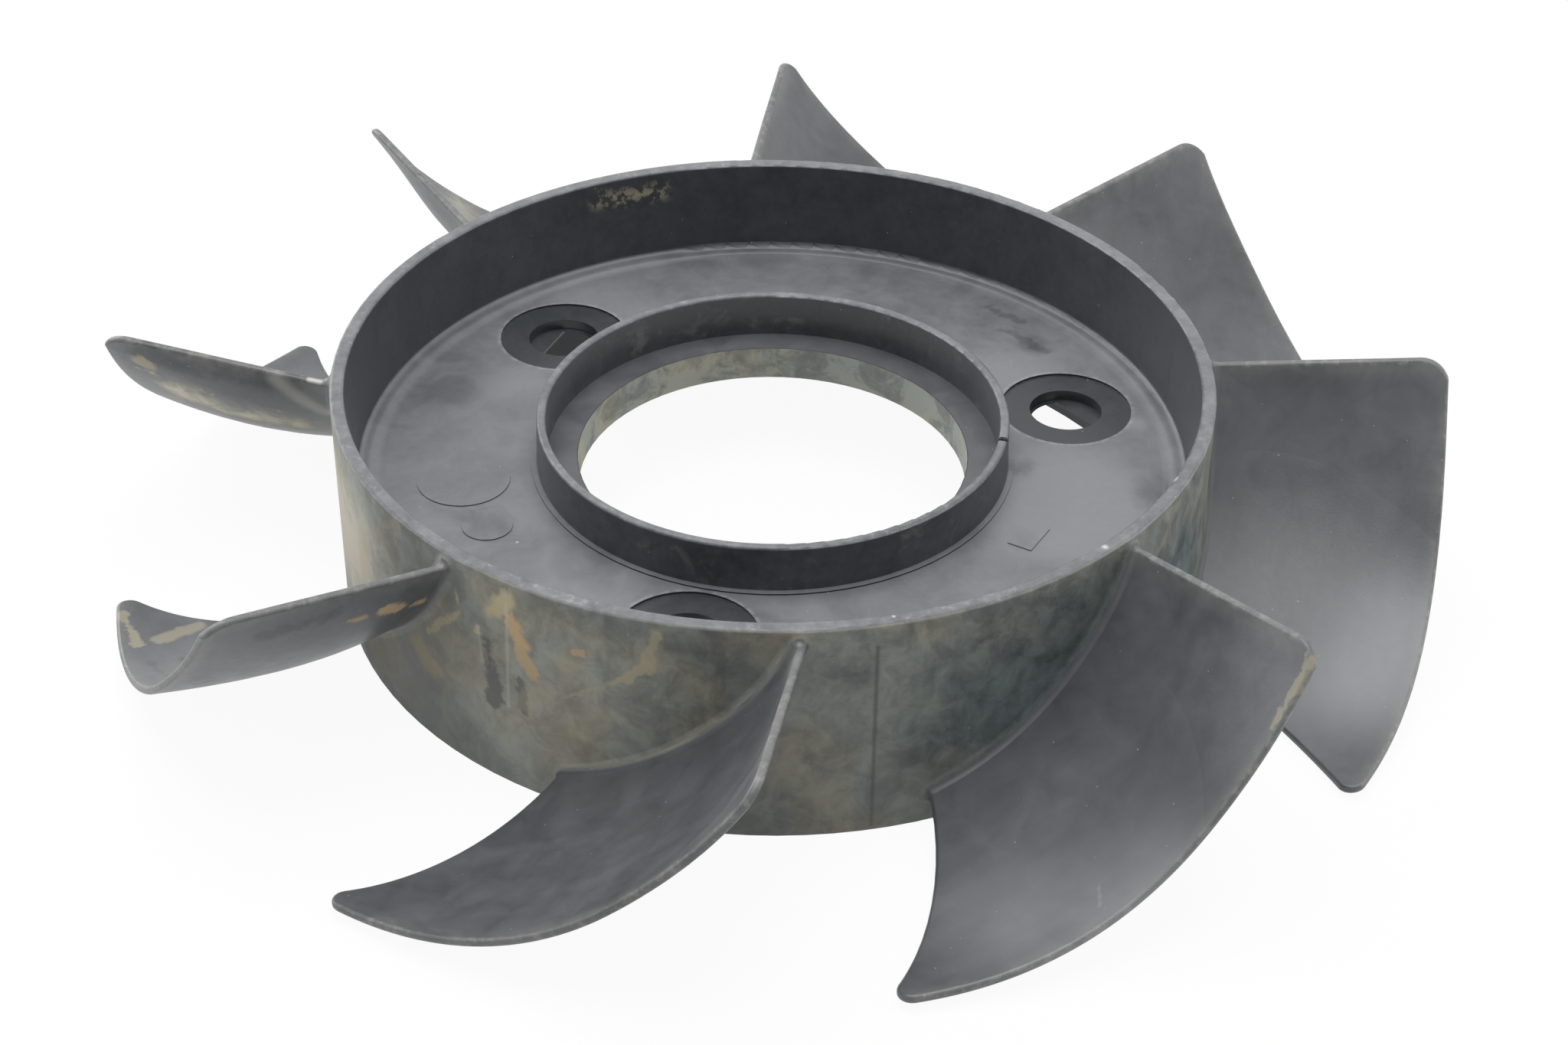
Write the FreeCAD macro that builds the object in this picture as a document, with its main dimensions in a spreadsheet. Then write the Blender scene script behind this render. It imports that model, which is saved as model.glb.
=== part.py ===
import FreeCAD, Part
import math
import os
import Sketcher

# Axial fan impeller moulded in one piece from glass-filled nylon.
# A short drum carries eight cambered blades on its outside.
# A deck with a raised collar, a central bore and three bolt holes closes the drum.
# Millimetres. The axis is Z, the drum's lower edge is at Z = 0, the outer side is up.

vector = FreeCAD.Vector
doc = FreeCAD.newDocument("axial_fan_impeller")
sheet = doc.addObject("Spreadsheet::Sheet", "sheet")

# A size is a number; what follows from others is written as a sum of them.
dimensions = [
    # drum
    ("drum_height", 61.3),
    ("rim_radius", 115.0),
    ("wall_flare", 0.4),
    ("base_radius", "=rim_radius + wall_flare"),
    ("rim_wall", 3.6),
    ("wall_foot_inset", 5.0),
    ("wall_foot_radius", "=rim_radius - wall_foot_inset"),
    ("lower_wall", 3.4),
    ("lower_wall_draft", 0.8),
    ("section_turn", -4.0),
    # deck inside the drum
    ("deck_height", 33.6),
    ("deck_thickness", 4.4),
    ("step_inset", 3.2),
    ("step_radius", "=wall_foot_radius - step_inset"),
    ("step_slope_width", 1.8),
    ("step_toe_radius", "=step_radius - step_slope_width"),
    ("step_height", 1.0),
    # collar and bore sleeve
    ("collar_rise", 13.0),
    ("collar_height", "=deck_height + collar_rise"),
    ("collar_radius", 62.5),
    ("collar_flare", 0.4),
    ("collar_foot_radius", "=collar_radius + collar_flare"),
    ("collar_wall", 2.3),
    ("collar_inner_radius", "=collar_radius - collar_wall"),
    ("ledge_rise", 0.3),
    ("ledge_height", "=deck_height + ledge_rise"),
    ("bore_radius", 52.0),
    ("sleeve_wall", 4.0),
    ("sleeve_radius", "=bore_radius + sleeve_wall"),
    ("sleeve_length", 9.5),
    ("sleeve_bottom", "=ledge_height - sleeve_length"),
    ("foot_ring_width", 1.6),
    ("foot_ring_radius", "=collar_foot_radius + foot_ring_width"),
    ("foot_ring_height", 0.4),
    # bolt seats
    ("bolt_count", 3),
    ("bolt_circle_radius", 83.6),
    ("seat_radius", 17.9),
    ("seat_depth", 0.6),
    ("bolt_hole_radius", 9.9),
    ("bolt_hole_depth", 3.0),
    ("bolt_lip", 0.4),
    ("flat_distance", 4.0),
    ("flat_turn", 21.8),
    # raised places on the deck, left bare
    ("place_height", 0.25),
    ("round_place_radius", 12.2),
    ("round_place_reach", 82.5),
    ("round_place_angle", 174.8),
    ("small_place_radius", 6.5),
    ("small_place_reach", 81.3),
    ("small_place_angle", 190.4),
    ("label_place_length", 11.0),
    ("label_place_width", 6.6),
    ("label_place_reach", 76.0),
    ("label_place_angle", 314.0),
    ("nick_width", 1.8),
    ("nick_depth", 1.0),
    ("nick_angle", 332.2),
    # gussets under the deck
    ("gusset_count", 12),
    ("gusset_thickness", 2.2),
    ("gusset_reach", 12.0),
    ("gusset_drop", 17.0),
    # blades
    ("blade_count", 8),
    ("blade_turn", 13.8),
    ("blade_thickness", 2.2),
    ("tip_radius", 175.6),
    ("root_bite", 1.8),
    ("blade_root_radius", "=rim_radius - root_bite"),
    ("root_overrun", 6.25),
    ("root_station", "=blade_root_radius - root_overrun"),
    ("root_top_side", 40.1),
    ("root_top_height", 62.85),
    ("root_slope", 65.2),
    ("root_upper_radius", 83.4),
    ("root_upper_sweep", 23.6),
    ("root_lower_radius", 189.2),
    ("root_lower_sweep", 16.0),
    ("middle_station", 140.3),
    ("middle_top_side", 41.3),
    ("middle_top_height", 68.7),
    ("middle_slope", 88.8),
    ("middle_upper_radius", 45.7),
    ("middle_upper_sweep", 42.0),
    ("middle_lower_radius", 120.4),
    ("middle_lower_sweep", 53.5),
    ("tip_overrun", 2.65),
    ("tip_station", "=tip_radius + tip_overrun"),
    ("tip_top_side", 51.05),
    ("tip_top_height", 76.8),
    ("tip_slope", 58.65),
    ("tip_upper_radius", 214.7),
    ("tip_upper_sweep", 17.1),
    ("tip_lower_radius", 87.0),
    ("tip_lower_sweep", 64.8),
    # blade outline
    ("top_edge_drop", 3.4),
    ("top_edge_root_height", "=drum_height - top_edge_drop"),
    ("top_edge_rise", 10.1),
    ("top_edge_tip_height", "=top_edge_root_height + top_edge_rise"),
    ("top_corner_radius", 8.0),
    ("top_corner_inset", 14.45),
    ("top_corner_centre", "=tip_station - top_corner_inset"),
    ("top_corner_sweep", 90.4),
    ("trailing_radius", 99.4),
    ("trailing_centre_side", 113.4),
    ("trailing_centre_reach", 77.6),
    ("trailing_corner_radius", 3.6),
    # blends and edge rounding
    ("root_fillet", 2.6),
    ("edge_rounding", 0.8),
    ("rim_rounding", 0.7),
    ("step_rounding", 2.6),
    ("toe_rounding", 4.8),
    ("foot_fillet", 1.6),
    ("collar_rounding", 0.7),
]
for row, (name, number) in enumerate(dimensions, start=1):
    sheet.set("A%d" % row, name)
    sheet.set("B%d" % row, str(number))
    sheet.setAlias("B%d" % row, name)
doc.recompute()


def value(expression):
    """The number an expression over the sheet gives now."""
    return float(sheet.evalExpression(expression))


def role(body, name):
    """The body's own origin plane or axis with this role."""
    for feature in body.Origin.OriginFeatures:
        if feature.Role == name:
            return feature
    raise RuntimeError("no origin feature " + name)


def new_sketch(body, name, plane, offset=None):
    """A sketch on one of the body's origin planes, moved along that plane's normal."""
    sketch = body.newObject("Sketcher::SketchObject", name)
    sketch.AttachmentSupport = [(role(body, plane), "")]
    sketch.MapMode = "FlatFace"
    if offset:
        sketch.setExpression("AttachmentOffset.Base.z", offset)
    return sketch


def drive(sketch, kind, expression, *where, angle=False):
    """A driving constraint whose value is an expression over the sheet."""
    number = value(expression)
    if angle:
        number = math.radians(number)
        expression = "(%s) * 1 deg" % expression
    index = sketch.addConstraint(Sketcher.Constraint(kind, *where, number))
    sketch.setExpression("Constraints[%d]" % index, expression)
    return index


def place_point(sketch, geometry, end, across, up):
    """Fix a point by its two signed distances from the sketch origin."""
    if across == "0":
        sketch.addConstraint(Sketcher.Constraint("PointOnObject", geometry, end, -2))
    else:
        drive(sketch, "DistanceX", across, -1, 1, geometry, end)
    if up == "0":
        sketch.addConstraint(Sketcher.Constraint("PointOnObject", geometry, end, -1))
    else:
        drive(sketch, "DistanceY", up, -1, 1, geometry, end)


def outline(sketch, corners):
    """A closed polygon through corners given as pairs of expressions."""
    first = sketch.GeometryCount
    spots = [vector(value(a), value(b), 0) for a, b in corners]
    count = len(spots)
    for i in range(count):
        sketch.addGeometry(Part.LineSegment(spots[i], spots[(i + 1) % count]), False)
    for i in range(count):
        after = first + (i + 1) % count
        sketch.addConstraint(Sketcher.Constraint("Coincident", first + i, 2, after, 1))
    for i, (across, up) in enumerate(corners):
        place_point(sketch, first + i, 1, across, up)


def circle(sketch, radius, across, up):
    """A full circle with its centre and radius driven from the sheet."""
    centre = vector(value(across), value(up), 0)
    shape = Part.Circle(centre, vector(0, 0, 1), value(radius))
    index = sketch.addGeometry(shape, False)
    place_point(sketch, index, 3, across, up)
    drive(sketch, "Radius", radius, index)
    return index


def pattern(body, name, originals, count, whole=False):
    """Copies of features, or of the whole body, spaced evenly about the axis."""
    copies = body.newObject("PartDesign::PolarPattern", name)
    if whole:
        copies.TransformMode = "Whole shape"
    else:
        copies.Originals = originals
    copies.Axis = (role(body, "Z_Axis"), [""])
    copies.Angle = 360
    copies.setExpression("Occurrences", count)
    body.Tip = copies
    return copies


def revolved(body, kind, name, sketch):
    """A full turn of a sketch about its own vertical axis."""
    turn = body.newObject(kind, name)
    turn.Profile = sketch
    turn.ReferenceAxis = (sketch, ["V_Axis"])
    turn.Angle = 360
    return turn


def edges_where(shape, test):
    """Names of the edges whose points near both ends and between pass a test."""
    names = []
    for number, edge in enumerate(shape.Edges, start=1):
        first, last = edge.FirstParameter, edge.LastParameter
        parts = (0.02, 0.25, 0.5, 0.75, 0.98)
        if all(test(edge.valueAt(first + (last - first) * part)) for part in parts):
            names.append("Edge%d" % number)
    return names


def ring_edges(shape, radius, height):
    """Names of the edges on a level circle about the axis."""
    def on_ring(point):
        return abs(math.hypot(point.x, point.y) - radius) < 0.02 and abs(point.z - height) < 0.02
    return edges_where(shape, on_ring)


def rounded(body, name, edges, radius):
    """A fillet on named edges of the body's present shape."""
    base = body.Tip
    blend = body.newObject("PartDesign::Fillet", name)
    blend.Base = (base, edges)
    blend.setExpression("Radius", radius)
    body.Tip = blend
    doc.recompute()
    return blend


# Drum, deck, collar and bore sleeve are one turned section.
hub = doc.addObject("PartDesign::Body", "hub")
# The section is drawn between two blades, clear of their roots.
section = new_sketch(hub, "hub_section", "XZ_Plane")
section.AttachmentOffset = FreeCAD.Placement(vector(), FreeCAD.Rotation(vector(0, 1, 0), -4))
section.setExpression(".AttachmentOffset.Rotation.Angle", "sheet.section_turn * 1 deg")
step_top = "sheet.deck_height + sheet.step_height"
ring_top = "sheet.deck_height + sheet.foot_ring_height"
deck_under = "sheet.deck_height - sheet.deck_thickness"
outline(section, [
    ("sheet.base_radius", "0"),
    ("sheet.rim_radius", "sheet.drum_height"),
    ("sheet.rim_radius - sheet.rim_wall", "sheet.drum_height"),
    ("sheet.wall_foot_radius", step_top),
    ("sheet.step_radius", step_top),
    ("sheet.step_toe_radius", "sheet.deck_height"),
    ("sheet.foot_ring_radius", "sheet.deck_height"),
    ("sheet.foot_ring_radius", ring_top),
    ("sheet.collar_foot_radius", ring_top),
    ("sheet.collar_radius", "sheet.collar_height"),
    ("sheet.collar_inner_radius", "sheet.collar_height"),
    ("sheet.collar_inner_radius", "sheet.ledge_height"),
    ("sheet.bore_radius", "sheet.ledge_height"),
    ("sheet.bore_radius", "sheet.sleeve_bottom"),
    ("sheet.sleeve_radius", "sheet.sleeve_bottom"),
    ("sheet.sleeve_radius", deck_under),
    ("sheet.base_radius - sheet.lower_wall - sheet.lower_wall_draft", deck_under),
    ("sheet.base_radius - sheet.lower_wall", "0"),
])
revolved(hub, "PartDesign::Revolution", "hub_turned", section)

doc.recompute()

# The drum's rim is rounded, and the deck runs up to the wall over a low soft shoulder.
turned_hub = hub.Shape
rim_top = value("sheet.drum_height")
rim_edges = ring_edges(turned_hub, value("sheet.rim_radius"), rim_top)
rim_edges += ring_edges(turned_hub, value("sheet.rim_radius - sheet.rim_wall"), rim_top)
rounded(hub, "rim_edges", rim_edges, "sheet.rim_rounding")
rounded(hub, "step_edge", ring_edges(hub.Shape, value("sheet.step_radius"), value(step_top)),
        "sheet.step_rounding")
rounded(hub, "step_toe", ring_edges(hub.Shape, value("sheet.step_toe_radius"), value("sheet.deck_height")),
        "sheet.toe_rounding")
rounded(hub, "wall_foot", ring_edges(hub.Shape, value("sheet.wall_foot_radius"), value(step_top)),
        "sheet.foot_fillet")

# Three shallow round seats are sunk in the deck, and each is pierced for a bolt bush.
# The first of them is on +X.
seat_across, seat_up = "sheet.bolt_circle_radius", "0"
seat_sketch = new_sketch(hub, "seat_sketch", "XY_Plane", "sheet.deck_height")
circle(seat_sketch, "sheet.seat_radius", seat_across, seat_up)
seat = hub.newObject("PartDesign::Pocket", "seat")
seat.Profile = seat_sketch
seat.setExpression("Length", "sheet.seat_depth")
pattern(hub, "seats", [seat], "sheet.bolt_count")

seat_floor = "sheet.deck_height - sheet.seat_depth"
hole_sketch = new_sketch(hub, "hole_sketch", "XY_Plane", seat_floor)
circle(hole_sketch, "sheet.bolt_hole_radius", seat_across, seat_up)
hole = hub.newObject("PartDesign::Pocket", "hole")
hole.Profile = hole_sketch
hole.setExpression("Length", "sheet.bolt_hole_depth")
pattern(hub, "holes", [hole], "sheet.bolt_count")

# The lowest part of each hole keeps a narrow lip, wider on the one straight side.
way_sketch = new_sketch(hub, "way_sketch", "XY_Plane", seat_floor)
way_radius = "sheet.bolt_hole_radius - sheet.bolt_lip"
turned = math.radians(value("sheet.flat_turn"))
half = math.acos(value("sheet.flat_distance / (%s)" % way_radius))
middle = vector(value(seat_across), 0, 0)
round_side = Part.Circle(middle, vector(0, 0, 1), value(way_radius))
way_sketch.addGeometry(Part.ArcOfCircle(round_side, turned + half, turned - half + 2 * math.pi), False)
ends = [middle + vector(math.cos(a), math.sin(a), 0) * value(way_radius)
        for a in (turned - half, turned + half)]
way_sketch.addGeometry(Part.LineSegment(ends[0], ends[1]), False)
way_sketch.addConstraint(Sketcher.Constraint("Coincident", 0, 2, 1, 1))
way_sketch.addConstraint(Sketcher.Constraint("Coincident", 1, 2, 0, 1))
place_point(way_sketch, 0, 3, seat_across, seat_up)
drive(way_sketch, "Radius", way_radius, 0)
drive(way_sketch, "Distance", "sheet.flat_distance", 0, 3, 1)
drive(way_sketch, "Angle", "sheet.flat_turn + 90", 1, angle=True)
way = hub.newObject("PartDesign::Pocket", "way")
way.Profile = way_sketch
way.setExpression("Length", "sheet.deck_thickness + 1")
pattern(hub, "ways", [way], "sheet.bolt_count")

# Flat raised places for markings: a round one, a small round one and an oblong one.
for place in ("round", "small"):
    place_sketch = new_sketch(hub, place + "_place_sketch", "XY_Plane", deck_under + " + 1")
    reach, angle = "sheet.%s_place_reach" % place, "sheet.%s_place_angle" % place
    circle(place_sketch, "sheet.%s_place_radius" % place,
           "%s * cos(%s * 1 deg)" % (reach, angle), "%s * sin(%s * 1 deg)" % (reach, angle))
    pad = hub.newObject("PartDesign::Pad", place + "_place")
    pad.Profile = place_sketch
    pad.setExpression("Length", "sheet.deck_thickness + sheet.place_height - 1")

label_sketch = new_sketch(hub, "label_place_sketch", "XY_Plane", deck_under + " + 1")
label_sketch.setExpression(".AttachmentOffset.Rotation.Angle", "sheet.label_place_angle * 1 deg")
outline(label_sketch, [
    ("sheet.label_place_reach - sheet.label_place_width / 2", "-sheet.label_place_length / 2"),
    ("sheet.label_place_reach + sheet.label_place_width / 2", "-sheet.label_place_length / 2"),
    ("sheet.label_place_reach + sheet.label_place_width / 2", "sheet.label_place_length / 2"),
    ("sheet.label_place_reach - sheet.label_place_width / 2", "sheet.label_place_length / 2"),
])
label_place = hub.newObject("PartDesign::Pad", "label_place")
label_place.Profile = label_sketch
label_place.setExpression("Length", "sheet.deck_thickness + sheet.place_height - 1")

# The collar's rim is rounded, and a small nick in it marks the moulding's zero.
doc.recompute()
collar_top = value("sheet.collar_height")
collar_edges = ring_edges(hub.Shape, value("sheet.collar_radius"), collar_top)
collar_edges += ring_edges(hub.Shape, value("sheet.collar_inner_radius"), collar_top)
rounded(hub, "collar_rim", collar_edges, "sheet.collar_rounding")
nick_sketch = new_sketch(hub, "nick_sketch", "XY_Plane", "sheet.collar_height")
nick_sketch.setExpression(".AttachmentOffset.Rotation.Angle", "sheet.nick_angle * 1 deg")
outline(nick_sketch, [
    ("sheet.collar_inner_radius - 2", "-sheet.nick_width / 2"),
    ("sheet.collar_radius + 2", "-sheet.nick_width / 2"),
    ("sheet.collar_radius + 2", "sheet.nick_width / 2"),
    ("sheet.collar_inner_radius - 2", "sheet.nick_width / 2"),
])
nick = hub.newObject("PartDesign::Pocket", "nick")
nick.Profile = nick_sketch
nick.setExpression("Length", "sheet.nick_depth")

# Under the deck, small gussets stiffen the drum wall.
gusset_sketch = new_sketch(hub, "gusset_sketch", "XZ_Plane")
wall_under = "sheet.base_radius - sheet.lower_wall - sheet.lower_wall_draft"
outline(gusset_sketch, [
    (wall_under + " + 1.5", deck_under + " + 1"),
    (wall_under + " - sheet.gusset_reach", deck_under + " + 1"),
    (wall_under + " - sheet.gusset_reach", deck_under + " - 1.5"),
    (wall_under + " - 1", deck_under + " - sheet.gusset_drop"),
    (wall_under + " + 1.5", deck_under + " - sheet.gusset_drop"),
])
gusset = hub.newObject("PartDesign::Pad", "gusset")
gusset.Profile = gusset_sketch
gusset.Midplane = True
gusset.setExpression("Length", "sheet.gusset_thickness")
pattern(hub, "gussets", [gusset], "sheet.gusset_count")
doc.recompute()


# One blade. Each section lies in a plane across the blade's own radial direction.
# A section is a plate of even thickness along two tangent arcs, steep above and flat below.
blade = doc.addObject("PartDesign::Body", "blade_ring")
blade.AllowCompound = True


def blade_section(station):
    """The cambered plate where it crosses one station."""
    sketch = new_sketch(blade, station + "_section", "XZ_Plane", "sheet.%s_station" % station)
    side = "sheet.%s_top_side" % station
    height = "sheet.%s_top_height" % station
    slope = "sheet.%s_slope" % station
    upper_radius = "sheet.%s_upper_radius" % station
    upper_sweep = "sheet.%s_upper_sweep" % station
    lower_radius = "sheet.%s_lower_radius" % station
    lower_sweep = "sheet.%s_lower_sweep" % station
    plate = "sheet.blade_thickness / 2"
    across = "%s - %s * sin(%s * 1 deg)" % (side, upper_radius, slope)
    up = "%s + %s * cos(%s * 1 deg)" % (height, upper_radius, slope)
    first = vector(value(across), value(up), 0)
    start = math.radians(value(slope))
    knee = start - math.radians(value(upper_sweep))
    finish = knee - math.radians(value(lower_sweep))
    reach = value(upper_radius) - value(lower_radius)
    second = first + vector(math.sin(knee), -math.cos(knee), 0) * reach

    def spot(centre, slope_there, radius):
        return centre + vector(math.sin(slope_there), -math.cos(slope_there), 0) * radius

    def arc(centre, radius, high, low):
        whole = Part.Circle(centre, vector(0, 0, 1), radius)
        quarter = math.pi / 2
        return Part.ArcOfCircle(whole, low - quarter, high - quarter)

    half_plate = value(plate)
    big, small = value(upper_radius), value(lower_radius)
    sketch.addGeometry(arc(first, big - half_plate, start, knee), False)
    sketch.addGeometry(arc(second, small - half_plate, knee, finish), False)
    sketch.addGeometry(Part.LineSegment(spot(second, finish, small - half_plate),
                                        spot(second, finish, small + half_plate)), False)
    sketch.addGeometry(arc(second, small + half_plate, knee, finish), False)
    sketch.addGeometry(arc(first, big + half_plate, start, knee), False)
    sketch.addGeometry(Part.LineSegment(spot(first, start, big + half_plate),
                                        spot(first, start, big - half_plate)), False)
    # an arc's first end is its lower one, its second end the upper one
    sketch.addConstraint(Sketcher.Constraint("Coincident", 0, 3, 4, 3))
    sketch.addConstraint(Sketcher.Constraint("Coincident", 1, 3, 3, 3))
    sketch.addConstraint(Sketcher.Constraint("Tangent", 0, 1, 1, 2))
    sketch.addConstraint(Sketcher.Constraint("Tangent", 4, 1, 3, 2))
    sketch.addConstraint(Sketcher.Constraint("Coincident", 1, 1, 2, 1))
    sketch.addConstraint(Sketcher.Constraint("Coincident", 2, 2, 3, 1))
    sketch.addConstraint(Sketcher.Constraint("Coincident", 4, 2, 5, 1))
    sketch.addConstraint(Sketcher.Constraint("Coincident", 5, 2, 0, 2))
    place_point(sketch, 0, 3, across, up)
    drive(sketch, "Radius", upper_radius + " - " + plate, 0)
    drive(sketch, "Radius", lower_radius + " - " + plate, 1)
    drive(sketch, "Radius", upper_radius + " + " + plate, 4)
    drive(sketch, "Angle", upper_sweep, 0, angle=True)
    drive(sketch, "Angle", lower_sweep, 1, angle=True)
    drive(sketch, "Angle", "%s + 90" % slope, 5, angle=True)
    sketch.addConstraint(Sketcher.Constraint("PointOnObject", 0, 3, 5))
    sketch.addConstraint(Sketcher.Constraint("PointOnObject", 1, 3, 2))
    return sketch


stations = [blade_section(name) for name in ("root", "middle", "tip")]
doc.recompute()
plate_loft = blade.newObject("PartDesign::AdditiveLoft", "plate_loft")
plate_loft.Profile = stations[0]
plate_loft.Sections = stations[1:]
doc.recompute()

# The top edge of the blade is flat across, rises outwards and ends in a rounded corner.
top_sketch = new_sketch(blade, "top_sketch", "YZ_Plane")
rise = "atan((sheet.top_edge_tip_height - sheet.top_edge_root_height)"
rise += " / (sheet.tip_station - sheet.root_station))"
lift = math.radians(value(rise + " / 1 deg"))
bend = value("sheet.top_corner_radius")
inner_end = vector(-value("sheet.root_station"), value("sheet.top_edge_root_height"), 0)
run = value("sheet.top_corner_centre - sheet.root_station") - bend * math.sin(lift)
bend_start = inner_end + vector(-run, run * math.tan(lift), 0)
bend_centre = bend_start + vector(-math.sin(lift), -math.cos(lift), 0) * bend
bend_ring = Part.Circle(bend_centre, vector(0, 0, 1), bend)
from_angle = math.pi / 2 - lift
to_angle = from_angle + math.radians(value("sheet.top_corner_sweep"))
bend_end = bend_centre + vector(math.cos(to_angle), math.sin(to_angle), 0) * bend
outer, clear = -value("sheet.tip_station"), value("sheet.drum_height * 2")
loop = [inner_end, bend_start, bend_end, vector(outer, bend_end.y, 0), vector(outer, clear, 0),
        vector(inner_end.x, clear, 0)]
top_sketch.addGeometry(Part.LineSegment(loop[0], loop[1]), False)
top_sketch.addGeometry(Part.ArcOfCircle(bend_ring, from_angle, to_angle), False)
for i in (2, 3, 4, 5):
    top_sketch.addGeometry(Part.LineSegment(loop[i], loop[(i + 1) % 6]), False)
top_sketch.addConstraint(Sketcher.Constraint("Tangent", 0, 2, 1, 1))
for i in (1, 2, 3, 4, 5):
    top_sketch.addConstraint(Sketcher.Constraint("Coincident", i, 2, (i + 1) % 6, 1))
for i, direction in ((2, "Horizontal"), (3, "Vertical"), (4, "Horizontal"), (5, "Vertical")):
    top_sketch.addConstraint(Sketcher.Constraint(direction, i))
place_point(top_sketch, 0, 1, "-sheet.root_station", "sheet.top_edge_root_height")
place_point(top_sketch, 3, 2, "-sheet.tip_station", "sheet.drum_height * 2")
drive(top_sketch, "Angle", "180 - " + rise + " / 1 deg", 0, angle=True)
drive(top_sketch, "Radius", "sheet.top_corner_radius", 1)
drive(top_sketch, "Angle", "sheet.top_corner_sweep", 1, angle=True)
drive(top_sketch, "DistanceX", "-sheet.top_corner_centre", -1, 1, 1, 3)
top_cut = blade.newObject("PartDesign::Pocket", "top_cut")
top_cut.Profile = top_sketch
top_cut.Midplane = True
top_cut.setExpression("Length", "sheet.tip_radius * 3")

# The trailing edge is a hollow arc in plan, so the lower tip corner is swept back.
trailing_sketch = new_sketch(blade, "trailing_sketch", "XY_Plane")
circle(trailing_sketch, "sheet.trailing_radius",
       "-sheet.trailing_centre_side", "-sheet.trailing_centre_reach")
trailing_cut = blade.newObject("PartDesign::Pocket", "trailing_cut")
trailing_cut.Profile = trailing_sketch
trailing_cut.Midplane = True
trailing_cut.setExpression("Length", "sheet.tip_radius * 3")

# Inside, the blade ends within the drum wall; outside, it ends on the swept cylinder.
root_sketch = new_sketch(blade, "root_sketch", "XY_Plane")
circle(root_sketch, "sheet.blade_root_radius", "0", "0")
root_cut = blade.newObject("PartDesign::Pocket", "root_cut")
root_cut.Profile = root_sketch
root_cut.Midplane = True
root_cut.setExpression("Length", "sheet.tip_radius * 3")
tip_sketch = new_sketch(blade, "tip_sketch", "XZ_Plane")
outline(tip_sketch, [
    ("sheet.tip_radius", "-sheet.drum_height"),
    ("sheet.tip_radius + 60", "-sheet.drum_height"),
    ("sheet.tip_radius + 60", "sheet.drum_height * 2"),
    ("sheet.tip_radius", "sheet.drum_height * 2"),
])
revolved(blade, "PartDesign::Groove", "tip_cut", tip_sketch)
doc.recompute()


# The trailing tip corner is rounded along the plate's short edge.
swept = value("sheet.tip_radius")
cut_blade = blade.Shape
tip_points = [corner.Point for corner in cut_blade.Vertexes if math.hypot(corner.X, corner.Y) > swept - 0.1]
trailing = Part.Vertex(min(tip_points, key=lambda point: point.x))
corner_names = ["Edge%d" % number for number, edge in enumerate(cut_blade.Edges, start=1)
                if edge.Length < 4.0 and edge.distToShape(trailing)[0] < 1.5]
rounded(blade, "trailing_corner", corner_names, "sheet.trailing_corner_radius")


def sharp(shape, edge):
    """Whether the two faces that share an edge meet there at a clear angle."""
    middle = edge.valueAt((edge.FirstParameter + edge.LastParameter) / 2)
    faces = shape.ancestorsOfType(edge, Part.Face)
    normals = [face.normalAt(*face.Surface.parameter(middle)) for face in faces]
    return len(normals) == 2 and abs(normals[0].dot(normals[1])) < 0.9


# The plate's edges are rounded off all the way round, outside the drum wall.
cut_blade = blade.Shape
inside = value("sheet.rim_radius") - 0.1
soft_names = []
for number, edge in enumerate(cut_blade.Edges, start=1):
    farthest = max(math.hypot(corner.X, corner.Y) for corner in edge.Vertexes)
    if farthest > inside and edge.Length > 3.0 and sharp(cut_blade, edge):
        soft_names.append("Edge%d" % number)
rounded(blade, "plate_edges", soft_names, "sheet.edge_rounding")

# Eight blades, evenly spaced.
pattern(blade, "blades", [], "sheet.blade_count", whole=True)
blade.setExpression(".Placement.Rotation.Angle", "sheet.blade_turn * 1 deg")
doc.recompute()

# Drum and blades are one moulding, blended where they meet.
joined = doc.addObject("Part::Fuse", "joined")
joined.Base = hub
joined.Tool = blade
joined.Refine = False
doc.recompute()

impeller = doc.addObject("PartDesign::Body", "moulding")
impeller.BaseFeature = joined
impeller.Label = "impeller"
doc.recompute()


def on_wall(point):
    """On the drum's outside, below the level of the blades' top edges."""
    taper = value("(sheet.rim_radius - sheet.base_radius) / sheet.drum_height")
    radius = value("sheet.base_radius") + taper * point.z
    return abs(math.hypot(point.x, point.y) - radius) < 0.02 and point.z > 0.2


def at_root(name):
    """An edge of a blade's root, not the seam of the wall or the rounding of the rim."""
    edge = impeller.Shape.Edges[int(name[4:]) - 1]
    if edge.Curve.TypeId == "Part::GeomLine":
        return False
    return max(corner.Z for corner in edge.Vertexes) < value("sheet.top_edge_root_height") + 0.5


roots = [name for name in edges_where(impeller.Shape, on_wall) if at_root(name)]
rounded(impeller, "root_blend", roots, "sheet.root_fillet")

for item in doc.Objects:
    if "Invalid" in item.State or "Error" in item.State:
        raise RuntimeError("%s failed: %s" % (item.Name, item.State))
shape = impeller.Shape
if shape.isNull() or not shape.isValid() or len(shape.Solids) != 1:
    raise RuntimeError("the impeller is not one valid solid")
os.makedirs("parts", exist_ok=True)
shape.exportStep("parts/%s.step" % impeller.Label)
print(impeller.Label, round(shape.Volume), shape.BoundBox, len(shape.Faces), len(roots))
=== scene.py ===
import math

import bpy
from mathutils import Matrix, Vector

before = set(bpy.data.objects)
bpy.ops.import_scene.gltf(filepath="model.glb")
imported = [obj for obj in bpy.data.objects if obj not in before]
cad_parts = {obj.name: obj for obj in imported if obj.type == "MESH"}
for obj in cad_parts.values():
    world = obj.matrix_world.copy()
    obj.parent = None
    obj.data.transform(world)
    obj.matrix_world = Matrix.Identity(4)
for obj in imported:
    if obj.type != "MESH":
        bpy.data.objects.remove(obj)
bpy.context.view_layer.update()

MM = 0.001

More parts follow.
